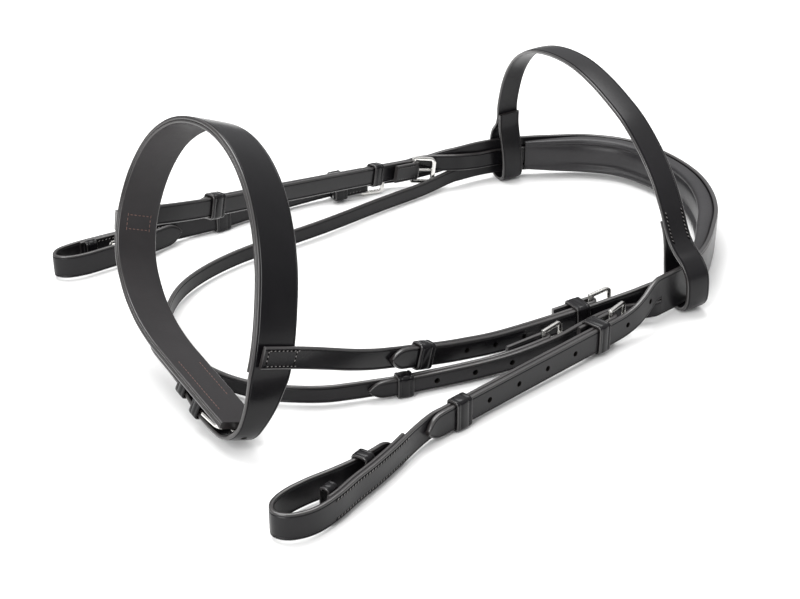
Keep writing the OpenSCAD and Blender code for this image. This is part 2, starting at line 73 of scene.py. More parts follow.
CROWN = [[85, -119.6], [103, -117.6], [123, -112.8], [146, -102], [170, -85.5], [193, -67],
         [213, -44], [228, -19], [237, 8], [240, 36], [235, 66], [218, 90], [195, 106],
         [173, 118.6], [156, 125.8], [138, 129.6], [120, 130.6]]
NEAR_POINT = [[84.95, -119.61, ZU], [82, -119.93, ZU], [76, -121.5, 23], [67, -124.3, 19],
              [57, -126.5, 15.4], [46, -127.9, 13.2], [36, -129.05, 12.6], [0, -133.1, 12.1],
              [-40, -137.5, 11.5], [-80, -142, 10.8], [-112, -145.71, 10.33],
              [-120, -146.85, 10.2], [-127, -148.9, 10.2]]
NEAR_THROAT = [[84.95, -119.61, ZL], [82, -119.7, ZL], [76, -117, 9.5], [66, -112.2, 9.4],
               [54, -109.6, 9.6], [40, -109.9, 9.8], [22, -112.3, 9.8], [6, -115, 9.8],
               [-8, -115.8, 9.6], [-24, -115.05, 8.9], [-40, -112.8, 8.1], [-58, -108.9, ZT],
               [-74, -105, ZT], [-88, -101.2, ZT], [-100, -97.8, ZT], [-112, -93.9, ZT],
               [-124, -89.5, ZT]]
FAR_POINT = [[119.95, 130.61, ZU], [117, 130.8, ZU], [111, 134.8, 22.6], [103, 142, 18.6],
             [92, 150.2, 14.8], [80, 156.8, 12.8], [66, 161.8, 12.4], [48, 165.3, 12.3],
             [24, 169.2, 11.8], [0, 172, 11], [-24, 173.2, 10.5], [-48, 172.7, Z0],
             [-72, 171.8, Z0], [-97, 174.2, Z0]]
THROAT = [[119.95, 130.61, ZL], [117, 130.7, ZL], [108, 130.2, 9.3], [98, 129, 8.6], [80, 127, ZT],
          [55, 124.8, ZT], [30, 122.2, ZT], [5, 119, ZT], [-20, 116.4, ZT], [-45, 114.8, ZT],
          [-68, 113, ZT], [-90, 110.6, ZT], [-110, 106.2, ZT], [-129, 99.4, ZT], [-146, 90, ZT],
          [-160, 78, ZT], [-172, 63, ZT], [-181, 45, ZT], [-187, 25, ZT], [-189.5, 4, ZT],
          [-188, -17, ZT], [-182, -37, ZT], [-171.5, -54.5, ZT], [-158.5, -67.4, ZT],
          [-145, -77.2, ZT], [-132, -83, ZT], [-120, -87.6, ZT], [-107, -92.4, ZT],
          [-94, -96.4, ZT], [-76, -101.4, ZT], [-58, -105.8, ZT], [-42, -109.4, 8],
          [-24, -112, 8.9], [-6, -112.9, 9.7]]
NEAR_NOSE = [[-202.5, -101.9, 62.8], [-181, -101.8, 55.6], [-160, -99.6, 46.8],
             [-142, -97.2, 38.8], [-124, -94.4, 31.6], [-108, -92, 26.3], [-94, -90.2, 22.2],
             [-80, -89, 18.3], [-66, -88.4, 14.9], [-52, -88.3, 12.3], [-30, -89.6, 9.6],
             [-6, -91.6, 8.9], [16, -94, 9.2], [34, -96.6, 10.2], [46, -98.7, 11.2]]
FAR_NOSE = [[-197, 73.4, 78.4], [-174, 73.4, 75], [-154, 76.2, 70.8], [-134, 81.4, 66],
            [-112, 87.8, 61], [-72, 98.8, 52.7], [-32, 109.8, 44.3], [8, 120.7, 36],
            [48, 131.7, 27.6], [82, 141, 20.5]]
SLIP_NEAR = [[-112, -95.6, 27.4], [-108, -95, 26.3], [-94, -93.2, 22.2], [-80, -92, 18.3],
             [-66, -91.4, 14.9], [-52, -91.3, 12.3], [-30, -92.6, 9.6], [-6, -94.6, 8.9],
             [16, -97, 9.2], [34, -99.6, 10.2], [46, -101.7, 11.2], [58, -104.4, 12.8],
             [72, -108, 15], [86, -111, 17.4], [103, -112.9, ZS]]
SLIP_FAR = [[118.5, 126.4, 21.6], [110, 130.7, 22], [101, 138.4, 21.4], [91, 143.7, 20.8],
            [81.2, 143.9, 20.5], [47.2, 134.6, 27.6], [7.2, 123.6, 36], [-32.8, 112.7, 44.3],
            [-72.8, 101.7, 52.7], [-112.8, 90.7, 61], [-136, 83.9, 66.2]]
NEAR_CHEEK = [[-150, -148.6, Z0], [-165, -152.6, Z0], [-180, -154.8, Z0], [-196, -155.4, Z0],
              [-212, -155.2, Z0], [-227, -157, Z0], [-237, -161.6, Z0], [-240.6, -169, Z0],
              [-235.5, -176, Z0], [-223, -179.2, Z0], [-207, -176.3, Z0], [-190, -170, Z0],
              [-172, -164, Z0], [-154, -157, Z0], [-136, -149.2, Z0], [-120, -143.55, Z0],
              [-112, -142.64, 10.32], [-80, -139, 10.8], [-40, -134.5, 11.5], [0, -130.1, 12.1],
              [38, -125.8, 12.7]]
FAR_CHEEK = [[-103, 167.4, Z0], [-120, 164.6, Z0], [-136, 162, Z0], [-152, 160.2, Z0],
             [-168, 159.4, Z0], [-183, 159.6, Z0], [-194, 163, Z0], [-198.6, 170, Z0],
             [-193, 177, Z0], [-180, 179.4, Z0], [-164, 179, Z0], [-146, 177.8, Z0],
             [-126, 175.2, Z0], [-110, 172.7, Z0], [-97, 171.1, Z0], [-84, 169.8, Z0],
             [-72, 168.8, Z0], [-60, 169.1, Z0], [-48, 169.65, Z0], [-24, 170.15, 10.5],
             [0, 169, 11], [24, 166.2, 11.8], [50, 161.9, 12.3]]
RING = [-227, 0, 8.6]
LEAN = 21
NOSE = [[-87, 11.6], [-66, 14.6], [-44, 18], [-22, 21.4], [0, 25.2], [21, 31.6], [42, 43],
        [60, 60.5], [68.4, 83], [68, 110], [58, 134], [39.5, 150], [15, 157.5], [-10.5, 157],
        [-36, 148], [-59, 131], [-78.5, 106.5], [-91, 80], [-98, 57], [-99.8, 36], [-98.6, 23],
        [-94.8, 12], [-89.2, 6.3], [-82, 3.8], [-73, 3.9], [-64, 4.8], [-57, 5.8], [-49, 8],
        [-36, 12.6], [-20, 16], [0, 19.4], [14, 23.4]]
FAR_TAB, NEAR_TAB = [68.4, 78.6], [-99, 52]
CHIN_BAR = [-66.5, 10]
CHIN_TURN = 182
CHIN_LEN = 15.5
BROW_BASE = [113.3, -119.7, 0]
BROW_YAW, BROW_LEAN = 11.5, 5
BROW_ARCH = [[14.6, 51.4], [20.4, 64], [30.6, 81], [45, 96], [64.4, 110], [83.4, 118.4],
             [104, 125.2], [127, 129.6], [150, 129.8], [171, 127], [189.6, 121.6], [206, 112.6],
             [218.6, 101], [228, 87.6], [234.6, 73.6], [238.6, 62]]
NEAR_LOOP = [[20.4, 57], [17.8, 51], [16.4, 44], [16, 36], [15.9, 27], [15.6, 17], [15.2, 6.4],
             [11.6, 1.8], [3.6, 1.5], [-3.4, 2.6], [-8.2, 8], [-9.8, 18], [-8.8, 27.6], [-3.2, 35],
             [4.2, 39.4], [10.6, 45]]
FAR_LOOP = [[239.8, 54], [243, 47], [248.8, 41], [252.8, 33], [254, 22], [254.2, 11], [252.6, 4],
            [248.2, 1.5], [241.4, 1.5], [236.8, 4], [234.8, 10.6], [234.4, 20], [235.2, 30],
            [236.6, 39], [237.4, 47], [236.2, 57]]
# half of the poll pad's section: (inward from the crown's middle, up)
PAD_HALF = [[5.3, 8.6], [1.9, 8.8], [1.8, 12.2], [4.2, 13.9], [8.4, 14.3], [11.7, 13.2],
            [12.4, 10.6], [9.6, 8.0], [10.9, 4.6]]


# ---- paths ----
def unit(v):
    v = np.asarray(v, float)
    return v / max(np.linalg.norm(v), 1e-12)


def leaned(a):
    """Turns by the angle a about the y axis."""
    return np.array([[math.cos(a), 0, math.sin(a)], [0, 1, 0], [-math.sin(a), 0, math.cos(a)]])


def run(p):
    return np.concatenate([[0], np.cumsum(np.linalg.norm(np.diff(p, axis=0), axis=1))])


def smooth(p, step):
    """A smooth curve through all the points of p, with a point about every step millimetres."""
    p = np.array(p, float)
    t = run(p)
    n = len(p)
    near = [(max(i - 1, 0), min(i + 1, n - 1)) for i in range(n)]
    m = [(p[b] - p[a]) / (t[b] - t[a]) for a, b in near]
    out = []
    for i in range(n - 1):
        h = t[i + 1] - t[i]
        k = max(1, math.ceil(h / step))
        for j in range(k):
            u = j / k
            out.append((2 * u**3 - 3 * u**2 + 1) * p[i] + (u**3 - 2 * u**2 + u) * h * m[i]
                       + (3 * u**2 - 2 * u**3) * p[i + 1] + (u**3 - u**2) * h * m[i + 1])
    return np.array(out + [p[-1]])


class Track:
    def __init__(self, points, step=3.0):
        self.p = smooth(points, step)
        self.s = run(self.p)
        self.total = self.s[-1]

    def at(self, s):
        return np.array([np.interp(s, self.s, self.p[:, k]) for k in range(3)])

    def heading(self, s):
        return unit(self.at(s + 0.4) - self.at(s - 0.4))

    def frame(self, s):
        """Place, heading, level left and the strap's own upward direction at distance s."""
        d = self.heading(s)
        l = unit(np.cross(UP, d))
        return self.at(s), d, l, np.cross(d, l)

    def part(self, a, b, step=3.0):
        n = max(2, math.ceil((b - a) / step))
        return np.array([self.at(a + (b - a) * i / n) for i in range(n + 1)])


def travel(p, i):
    return unit(p[min(i + 1, len(p) - 1)] - p[max(i - 1, 0)])


def left(p, i):
    return unit(np.cross(UP, travel(p, i)))


def shift(p, side):
    return np.array([p[i] + side * left(p, i) for i in range(len(p))])


def turned(p, inner, back=26):
    """The strap's end carried round its buckle bar and laid back on itself."""
    n = len(p) - 1
    e, d, l = p[n], travel(p, n), inner * left(p, n)
    arc = [e + l * FOLD_R * (1 - math.cos(a)) + d * FOLD_R * math.sin(a)
           for a in np.radians(np.arange(15, 181, 15))]
    flat = [e + l * 2 * FOLD_R - d * back * k for k in (0.2, 0.5, 0.8, 1)]
    return np.array(list(p) + arc + flat)


def tipped(p, first, last):
    s = run(p)
    steps = [0, 0.02, 0.06, 0.12, 0.2, 0.3, 0.42, 0.55, 0.7, 0.85]

    def at(x):
        return [np.interp(x, s, p[:, k]) for k in range(3)]

    head = [at(first * k) for k in steps] if first else []
    tail = [at(s[-1] - last * k) for k in reversed(steps)] if last else []
    body = [p[i] for i in range(len(p)) if first <= s[i] <= s[-1] - last]
    return np.array(head + body + tail)


def narrowing(d, tip):
    return 1 if tip == 0 or d >= tip else max(0.14, (1 - (1 - d / tip) ** 2) ** 0.72)


# ---- mesh building ----
pieces = {}


def new_mesh(name, verts, faces):
    """A mesh from points in millimetres."""
    mesh = bpy.data.meshes.new(name)
    mesh.from_pydata([tuple(v * M) for v in verts], [], faces)
    return mesh


def face_outward(mesh):
    bm = bmesh.new()
    bm.from_mesh(mesh)
    bmesh.ops.recalc_face_normals(bm, faces=bm.faces)
    bm.to_mesh(mesh)
    bm.free()


def finish_piece(name, verts, faces, kinds, mats, node=None, body=None, angle=38):
    """Makes the object, rides it on its node's body and lets it stand for the node."""
    mesh = new_mesh(name, verts, faces)
    mesh.polygons.foreach_set("material_index", kinds)
    face_outward(mesh)
    mesh.polygons.foreach_set("use_smooth", [True] * len(mesh.polygons))
    mesh.set_sharp_from_angle(angle=math.radians(angle))
    obj = bpy.data.objects.new(name, mesh)
    bpy.context.scene.collection.objects.link(obj)
    for m in mats:
        mesh.materials.append(materials[m])
    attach(obj, body or body_of[node])
    if node:
        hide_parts(node)
    pieces[name] = obj
    return obj


def metal_piece(node, verts, faces):
    return finish_piece(node + "_look", verts, faces, [0] * len(faces), ["metal"], node,
                        angle=50)


def tube(rings, closed=False, caps=True):
    """Faces that join equal rings of points into a closed skin."""
    n, m = len(rings), len(rings[0])
    verts = [v for r in rings for v in r]
    faces, along = [], []
    for i in range(n if closed else n - 1):
        for j in range(m):
            a, b = i * m + j, i * m + (j + 1) % m
            c, d = ((i + 1) % n) * m + (j + 1) % m, ((i + 1) % n) * m + j
            faces.append((a, b, c, d))
            along.append(j)
    if caps and not closed:
        faces += [tuple(reversed(range(m))), tuple(range((n - 1) * m, n * m))]
        along += [-1, -1]
    return verts, faces, along


CREASE_AT = 1.5


def strap_section(hw, t, creases, dome):
    """Outline of a strap: flat faces with a creased line near each edge, and rounded burnished edges.
    Each point is (across, up, kind), with kind 1 on the edge. Creases and dome are per face,
    (left, right)."""
    half = t / 2
    e = min(0.75, 0.42 * t, 0.6 * hw)
    k = min(1.0, hw / (CREASE_AT + 2.2))
    steps = [e * k, (CREASE_AT - 0.4) * k, CREASE_AT * k, (CREASE_AT + 0.4) * k, (CREASE_AT + 1.5) * k]
    out = []
    for face, (deep, high) in ((1, (creases[0], dome[0])), (-1, (creases[1], dome[1]))):
        side = []
        for i, d in enumerate(steps):
            d = max(d, e)
            x = half - (deep * k if i == 2 else 0)
            bulge = high * (1 - ((hw - d) / hw) ** 2) if i > 2 else 0
            side.append((face * (x + bulge), -hw + d, 0))
        mid = [(face * (half + high), 0, 0)]
        up = side + mid + [(a, -b, kind) for a, b, kind in reversed(side)]
        up = up if face > 0 else list(reversed(up))
        out += up
        sgn = 1 if face > 0 else -1
        arc = [(sgn * (half - e + e * math.cos(q)), sgn * (hw - e + e * math.sin(q)), 1)
               for q in np.radians([30, 60, 90])]
        top = [(0, sgn * (hw + 0.12 * min(1, k)), 1)]
        back = [(-sgn * (half - e + e * math.cos(q)), sgn * (hw - e + e * math.sin(q)), 1)
                for q in np.radians([90, 60, 30])]
        out += arc + top + back
    return out


def strap(name, node, p, w, t, first=0, last=0, widths=None, creases=(0.3, 0.3), dome=(0.12, 0.12),
          square_to=None, bent=0, mats=("leather", "edge"), slot="leather", holes=(), track=None):
    p = np.array(p, float)
    q = tipped(p, first, last)
    s = run(q)
    rings = []
    for i in range(len(q)):
        d = travel(q, i)
        if square_to is not None and i >= len(q) - bent:
            h = square_to
            l = unit(np.cross(h, d))
        else:
            l = left(q, i)
            h = np.cross(d, l)
        full = w if widths is None else np.interp(s[i], widths[0], widths[1])
        hw = full / 2 * min(narrowing(s[i], first), narrowing(s[-1] - s[i], last))
        rings.append([q[i] + l * a + h * b for a, b, _ in strap_section(hw, t, creases, dome)])
    kind = [k for _, _, k in strap_section(w / 2, t, creases, dome)]
    verts, faces, along = tube(rings)
    m = len(kind)
    kinds = [1 if j < 0 else max(kind[j], kind[(j + 1) % m]) for j in along]
    obj = finish_piece(name, verts, faces, kinds, list(mats), node)
    if len(holes):
        punch(obj, track, holes)
    return obj


def join_parts(parts):
    """Several (verts, faces) skins as one list of each."""
    verts, faces = [], []
    for v, f in parts:
        k = len(verts)
        verts += list(v)
        faces += [tuple(i + k for i in q) for q in f]
    return verts, faces


def disc_rings(centre, axis, profile, sides=20):
    """Rings of a turned shape: profile is (distance along axis, radius)."""
    axis = unit(axis)
    u = unit(np.cross(axis, [0.3, 0.5, 0.8]))
    v = np.cross(axis, u)
    ang = np.linspace(0, 2 * math.pi, sides, endpoint=False)
    return [[centre + axis * h + r * (math.cos(a) * u + math.sin(a) * v) for a in ang]
            for h, r in profile]


def punch(obj, track, places):
    """Real punched holes, cut out of the strap's mesh."""
    parts = []
    for s in places:
        c, _, l, _ = track.frame(s)
        v, f, _ = tube(disc_rings(c, l, [(-5, HOLE_R), (5, HOLE_R)], 16))
        parts.append((v, f))
    verts, faces = join_parts(parts)
    mesh = new_mesh("punch", verts, faces)
    face_outward(mesh)
    cutter = bpy.data.objects.new("punch", mesh)
    bpy.context.scene.collection.objects.link(cutter)
    # the hole walls take a near-black colour: painted shade inside the punched holes
    mesh.materials.append(materials["hole_shade"])
    mod = obj.modifiers.new("holes", "BOOLEAN")
    mod.operation, mod.object, mod.solver = "DIFFERENCE", cutter, "EXACT"
    mod.material_mode = "TRANSFER"
    bpy.context.view_layer.update()
    done = bpy.data.meshes.new_from_object(obj.evaluated_get(bpy.context.evaluated_depsgraph_get()))
    obj.modifiers.clear()
    obj.data = done
    obj.data.set_sharp_from_angle(angle=math.radians(38))
    bpy.data.objects.remove(cutter)


def keeper(name, node, track, s, y0, y1, w, length):
    """A leather keeper round the stack from y0 to y1 across and w high, with two creased lines."""
    c, d, l, h = track.frame(s)
    a, b = (y1 - y0) / 2 + GAP, w / 2 + GAP
    mid = (y0 + y1) / 2
    corner = 1.0
    path = []
    for cx, cy, start in ((a - corner, b - corner, 0), (-a + corner, b - corner, 90),
                          (-a + corner, -b + corner, 180), (a - corner, -b + corner, 270)):
        for q in np.radians(np.linspace(start, start + 90, 5)):
            nx, ny = math.cos(q), math.sin(q)
            path.append((cx + corner * nx, cy + corner * ny, nx, ny))
    L, T = length / 2, KEEPER_T
    line, groove = L * 0.62, 0.32
    outer = [(-L + 0.1, T - 0.45), (-L + 0.45, T - 0.1), (-L + 0.9, T),
             (-line, T), (-line + 0.45, T - groove), (-line + 0.9, T),
             (-L * 0.1, T + 0.06), (L * 0.1, T + 0.06),
             (line - 0.9, T), (line - 0.45, T - groove), (line, T),
             (L - 0.9, T), (L - 0.45, T - 0.1), (L - 0.1, T - 0.45)]
    profile = [(-L, 0.5), *outer, (L, 0.5), (L - 0.35, 0.08), (0, 0), (-L + 0.35, 0.08)]
    rings = []
    for x, y, nx, ny in path:
        rings.append([c + d * px + l * (mid + x + nx * r) + h * (y + ny * r) for px, r in profile])
    verts, faces, along = tube(rings, closed=True)
    kinds = [1 if j in (0, 1, 13, 14, 15) else 0 for j in along]
    return finish_piece(name, verts, faces, kinds, ["band", "edge"], node)


def keeper_of(name, track, inner, back, w, length, folded):
    y0, y1 = -STACK_OUT, STACK_FOLD if folded else STACK_IN
    if inner < 0:
        y0, y1 = -y1, -y0
    return keeper(name + "_look", name, track, track.total - back, y0, y1, w, length)


def loop_keeper(name, track, s, inner, deep):
    y = BACK_SIDE + BACK_T / 2 + 0.2 + KEEPER_T + GAP
    y0, y1 = (y, y + deep) if inner > 0 else (-y - deep, -y)
    return keeper(name + "_look", name, track, s, y0, y1, STRAP_W, 8)


def ellipse_ring(c, u, v, ru, rv, sides=12, power=2.0):
    out = []
    for a in np.linspace(0, 2 * math.pi, sides, endpoint=False):
        x, y = math.cos(a), math.sin(a)
        out.append(c + u * ru * math.copysign(abs(x) ** (2 / power), x)
                   + v * rv * math.copysign(abs(y) ** (2 / power), y))
    return out


def bar_frame(track, inner, swing):
    """Bar centre and the buckle's own axes: x out along the strap, y across, z along the bar."""
    c, d, l, h = track.frame(track.total)
    o = c + l * inner * FOLD_R
    q = math.radians(swing)
    return o, d * math.cos(q) + l * math.sin(q), -d * math.sin(q) + l * math.cos(q), h


def chin_frame():
    R = leaned(math.radians(LEAN))
    q = math.radians(CHIN_TURN)
    o = np.array(RING) + R @ np.array([NOSE_W / 2, CHIN_BAR[0], CHIN_BAR[1]])
    x = R @ np.array([0, math.cos(q), math.sin(q)])
    y = R @ np.array([0, -math.sin(q), math.cos(q)])
    return o, x, y, R @ np.array([1.0, 0, 0])


def buckle(node, place, w, length, r):
    """A buckle frame with softly rounded bars and its hinge bar."""
    o, x, y, z = place
    half = (w + 1.6) / 2 + SIDE_W / 2
    far = length + 0.2
    corner = 3.2
    pts = [(-r + 0.2, half), (-r + 0.7, half), (0.5, half), (far * 0.35, half), (far * 0.7, half),
           (far - corner, half)]
    pts += [(far - corner + corner * math.sin(q), half - corner + corner * math.cos(q))
            for q in np.radians([15, 30, 45, 60, 75, 90])]
    pts += [(far, half * 0.35)]
    pts = pts + [(a, -b) for a, b in reversed(pts)]
    rings = []
    for i, (a, b) in enumerate(pts):
        pa, pb = pts[max(i - 1, 0)], pts[min(i + 1, len(pts) - 1)]
        t = unit([pb[0] - pa[0], pb[1] - pa[1]])
        side = x * -t[1] + z * t[0]
        wide = SIDE_W / 2 + (0.25 if abs(b) < half - 1 else 0)
        k = 0.55 if i in (0, len(pts) - 1) else 1
        rings.append(ellipse_ring(o + x * a + z * b, side, y, wide * k, FRAME_T / 2 * k, 16, 3.0))
    frame_skin = tube(rings)[:2]
    bar = tube(disc_rings(o, z, [(-half, r), (half, r)], 18))[:2]
    verts, faces = join_parts([frame_skin, bar])
    return metal_piece(node, verts, faces)


def tongue(node, place, length, r, side):
    """A tongue: an eye rolled round the hinge bar and a pin that tapers to a blunt tip."""
    o, x, y, z = place
    eye_in, eye_out = r + 0.05, r + 1.25
    ring_r, th = (eye_in + eye_out) / 2, (eye_out - eye_in) / 2
    eye = []
    for a in np.linspace(0, 2 * math.pi, 22, endpoint=False):
        n = x * math.cos(a) + y * math.sin(a)
        eye.append(ellipse_ring(o + n * ring_r, n, z, th, EYE_W / 2, 14, 3.2))
    q = side * math.asin((FRAME_T / 2 + 1.55) / (length + 1))
    d, n = x * math.cos(q) + y * math.sin(q), -x * math.sin(q) + y * math.cos(q)
    pin = []
    for s, a, b in ((r + 0.75, 0.75, 1.75), (r + 1.6, 0.85, 1.5), (r + 3, 0.95, 1.15),
                    (r + 5, 0.98, 1.0), (length * 0.6, 0.98, 0.98), (length - 1, 0.95, 0.95),
                    (length + 0.2, 0.85, 0.9), (length + 0.8, 0.6, 0.66), (length + 1, 0.2, 0.2)):
        pin.append(ellipse_ring(o + d * s, n, z, a, b, 14, 2.2))
    verts, faces = join_parts([tube(eye, closed=True)[:2], tube(pin)[:2]])
    return metal_piece(node, verts, faces)


def hook_stud(node, track, s, inner):
    c, _, l, _ = track.frame(s)
    out = l * inner
    base = c + out * (BACK_SIDE + BACK_T / 2 + 0.1)
    profile = [(0, 3.6), (0.5, 3.6), (0.75, 3.3), (0.8, 1.9), (1.1, 1.45), (1.8, 1.3),
               (2.5, 1.4), (2.65, 2.1), (2.9, 2.4), (3.2, 2.3), (3.5, 1.7), (3.6, 0.6)]
    verts, faces, _ = tube(disc_rings(base, out, profile, 24))
    return metal_piece(node, verts, faces)


def stitches(name, places, body="straps", size=(1.05, 0.33, 0.28), colour="thread"):
    """Rows of thread stitches; places are (centre, along, out)."""
    parts = []
    for c, d, out in places:
        v = np.cross(out, d)
        rings = []
        for s, k in ((-1, 0.3), (-0.75, 0.75), (-0.3, 1), (0.3, 1), (0.75, 0.75), (1, 0.3)):
            lift = -0.12 * s * s
            place = c + d * s * size[0] + out * lift
            rings.append(ellipse_ring(place, v, out, size[1] * k, size[2] * k, 6))
        parts.append(tube(rings)[:2])
    verts, faces = join_parts(parts)
    return finish_piece(name, verts, faces, [0] * len(faces), [colour], body=body)


def row(track, s0, s1, across, height, pitch=2.6, slant=7):
    """Places for one row of stitches along a track, on the face that lies across from its middle."""
    places = []
    n = max(1, round((s1 - s0) / pitch))
    for i in range(n + 1):
        s = s0 + (s1 - s0) * i / n
        c, d, l, h = track.frame(s)
        face = math.copysign(1, across)
        q = math.radians(slant)
        places.append((c + l * across + h * height, d * math.cos(q) + h * math.sin(q), l * face))
    return places


def up_row(track, s, across, h0, h1, pitch=2.4):
    """Stitches across the strap at one place."""
    c, _, l, h = track.frame(s)
    n = max(1, round(abs(h1 - h0) / pitch))
    heights = [h0 + (h1 - h0) * i / n for i in range(n + 1)]
    return [(c + l * across + h * x, h, l * math.copysign(1, across)) for x in heights]


# ---- materials ----
def new_material(name):
    m = bpy.data.materials.new(name)
    m.use_nodes = True
    nt = m.node_tree
    return m, nt, nt.nodes["Principled BSDF"]


def leather(name, dark, light, rough, grain=0.05, scale=420, sheen=0.0, coat=0.0, wear=0.35, spec=0.5,
            coat_rough=0.25):
    """Dyed leather: fine grain, soft blotches of colour, and a roughness that wanders."""
    m, nt, b = new_material(name)
    tex = nt.nodes.new("ShaderNodeTexCoord")
    blotch = nt.nodes.new("ShaderNodeTexNoise")
    blotch.inputs["Scale"].default_value = 28
    blotch.inputs["Detail"].default_value = 6
    blotch.inputs["Roughness"].default_value = 0.6
    nt.links.new(tex.outputs["Object"], blotch.inputs["Vector"])
    ramp = nt.nodes.new("ShaderNodeValToRGB")
    ramp.color_ramp.elements[0].position = 0.3
    ramp.color_ramp.elements[0].color = (*dark, 1)
    ramp.color_ramp.elements[1].position = 0.75
    ramp.color_ramp.elements[1].color = (*light, 1)
    nt.links.new(blotch.outputs["Fac"], ramp.inputs["Fac"])
    nt.links.new(ramp.outputs["Color"], b.inputs["Base Color"])
    r = nt.nodes.new("ShaderNodeMapRange")
    r.inputs["To Min"].default_value = rough - 0.06
    r.inputs["To Max"].default_value = rough + 0.1 * wear + 0.03
    nt.links.new(blotch.outputs["Fac"], r.inputs["Value"])
    nt.links.new(r.outputs["Result"], b.inputs["Roughness"])
    pores = nt.nodes.new("ShaderNodeTexVoronoi")
    pores.feature = "F1"
    pores.inputs["Scale"].default_value = scale * 2.4
    fine = nt.nodes.new("ShaderNodeTexNoise")
    fine.inputs["Scale"].default_value = scale
    fine.inputs["Detail"].default_value = 8
    fine.inputs["Roughness"].default_value = 0.65
    nt.links.new(tex.outputs["Object"], pores.inputs["Vector"])
    nt.links.new(tex.outputs["Object"], fine.inputs["Vector"])
    mix = nt.nodes.new("ShaderNodeMath")
    mix.operation = "MULTIPLY_ADD"
    mix.inputs[1].default_value = 0.35
    nt.links.new(pores.outputs["Distance"], mix.inputs[0])
    nt.links.new(fine.outputs["Fac"], mix.inputs[2])
    bump = nt.nodes.new("ShaderNodeBump")
    bump.inputs["Strength"].default_value = grain * 4
    bump.inputs["Distance"].default_value = 0.0002
    nt.links.new(mix.outputs[0], bump.inputs["Height"])
    nt.links.new(bump.outputs["Normal"], b.inputs["Normal"])
    b.inputs["Specular IOR Level"].default_value = spec
    b.inputs["Coat Weight"].default_value = coat
    b.inputs["Coat Roughness"].default_value = coat_rough
    b.inputs["Sheen Weight"].default_value = sheen
    b.inputs["Sheen Roughness"].default_value = 0.5
    return m


def metal(name):
    """Polished stainless with faint handling marks."""
    m, nt, b = new_material(name)
    b.inputs["Metallic"].default_value = 1.0
    tex = nt.nodes.new("ShaderNodeTexCoord")
    n = nt.nodes.new("ShaderNodeTexNoise")
    n.inputs["Scale"].default_value = 260
    n.inputs["Detail"].default_value = 5
    nt.links.new(tex.outputs["Object"], n.inputs["Vector"])
    ramp = nt.nodes.new("ShaderNodeValToRGB")
    ramp.color_ramp.elements[0].color = (0.62, 0.61, 0.59, 1)
    ramp.color_ramp.elements[1].color = (0.84, 0.83, 0.80, 1)
    nt.links.new(n.outputs["Fac"], ramp.inputs["Fac"])
    nt.links.new(ramp.outputs["Color"], b.inputs["Base Color"])
    r = nt.nodes.new("ShaderNodeMapRange")
    r.inputs["To Min"].default_value = 0.14
    r.inputs["To Max"].default_value = 0.3
    nt.links.new(n.outputs["Fac"], r.inputs["Value"])
    nt.links.new(r.outputs["Result"], b.inputs["Roughness"])
    return m


materials = {
    "leather": leather("black bridle leather", (0.0048, 0.0045, 0.0052),
                       (0.0095, 0.0088, 0.01), 0.34, coat=0.06, coat_rough=0.18, spec=0.2),
    # band: the same black leather with a smoother, glossier finish, which is real; its darker colour is
    # painted shade for the straps and keepers that look darkest
    "band": leather("polished leather with painted shade", (0.0035, 0.0033, 0.004),
                    (0.0065, 0.006, 0.007), 0.25, grain=0.03, spec=0.17, coat=0.12, coat_rough=0.12),
    "edge": leather("burnished edge", (0.012, 0.0105, 0.0105),
                    (0.03, 0.027, 0.027), 0.3, grain=0.09, scale=700, coat=0.5, coat_rough=0.18),
    "lining": leather("lining leather", (0.019, 0.0172, 0.0182),
                      (0.03, 0.0272, 0.0285), 0.46, grain=0.06, scale=300, spec=0.3),
    "pad": leather("soft pad leather", (0.012, 0.0112, 0.0125),
                   (0.022, 0.0205, 0.0225), 0.4, grain=0.16, scale=260, sheen=0.03, spec=0.4),
    # hole walls: cut leather made near black, painted shade for the dark insides of the punched holes
    "hole_shade": leather("cut leather with painted shade", (0.004, 0.0034, 0.003),
                   (0.01, 0.0085, 0.0075), 0.8, grain=0.1, scale=600, spec=0.1),
    # thread: light grey, partly the waxed thread's own colour and partly painted highlight for the
    # glints on the stitches
    "thread": leather("waxed thread", (0.09, 0.085, 0.082),
                      (0.24, 0.225, 0.22), 0.45, grain=0.1, scale=1500),
    # near-black flat marks laid at the stitches: painted shade for the awl holes
    "slit": leather("awl slit", (0.0012, 0.0011, 0.0012), (0.003, 0.0028, 0.003), 0.8, spec=0.05),
    "brown thread": leather("brown thread", (0.1, 0.05, 0.04),
                            (0.17, 0.1, 0.085), 0.5, grain=0.1, scale=1500),
    "metal": metal("polished stainless"),
}

# ---- tracks ----
crown = Track([[x, y, ZC] for x, y in CROWN])
near_point = Track(NEAR_POINT)
near_throat = Track(NEAR_THROAT)
far_point = Track(FAR_POINT)
throat = Track(THROAT)
near_nose = Track(NEAR_NOSE)
far_nose = Track(FAR_NOSE)
near_cheek = Track(NEAR_CHEEK, 2.5)
far_cheek = Track(FAR_CHEEK, 2.5)
over_poll = shift(np.array([[x, y, ZS] for x, y in CROWN[2:-1]], float), 3.4)
slip = Track(SLIP_NEAR + [list(v) for v in over_poll] + SLIP_FAR)


# ---- headpiece ----
def chaped(node, track, inner, w, first=0, **more):
    h = track.frame(track.total)[3]
    return strap(node + "_look", node, turned(track.p, inner), w, PLY_T, first, square_to=h, bent=15,
                 **more)


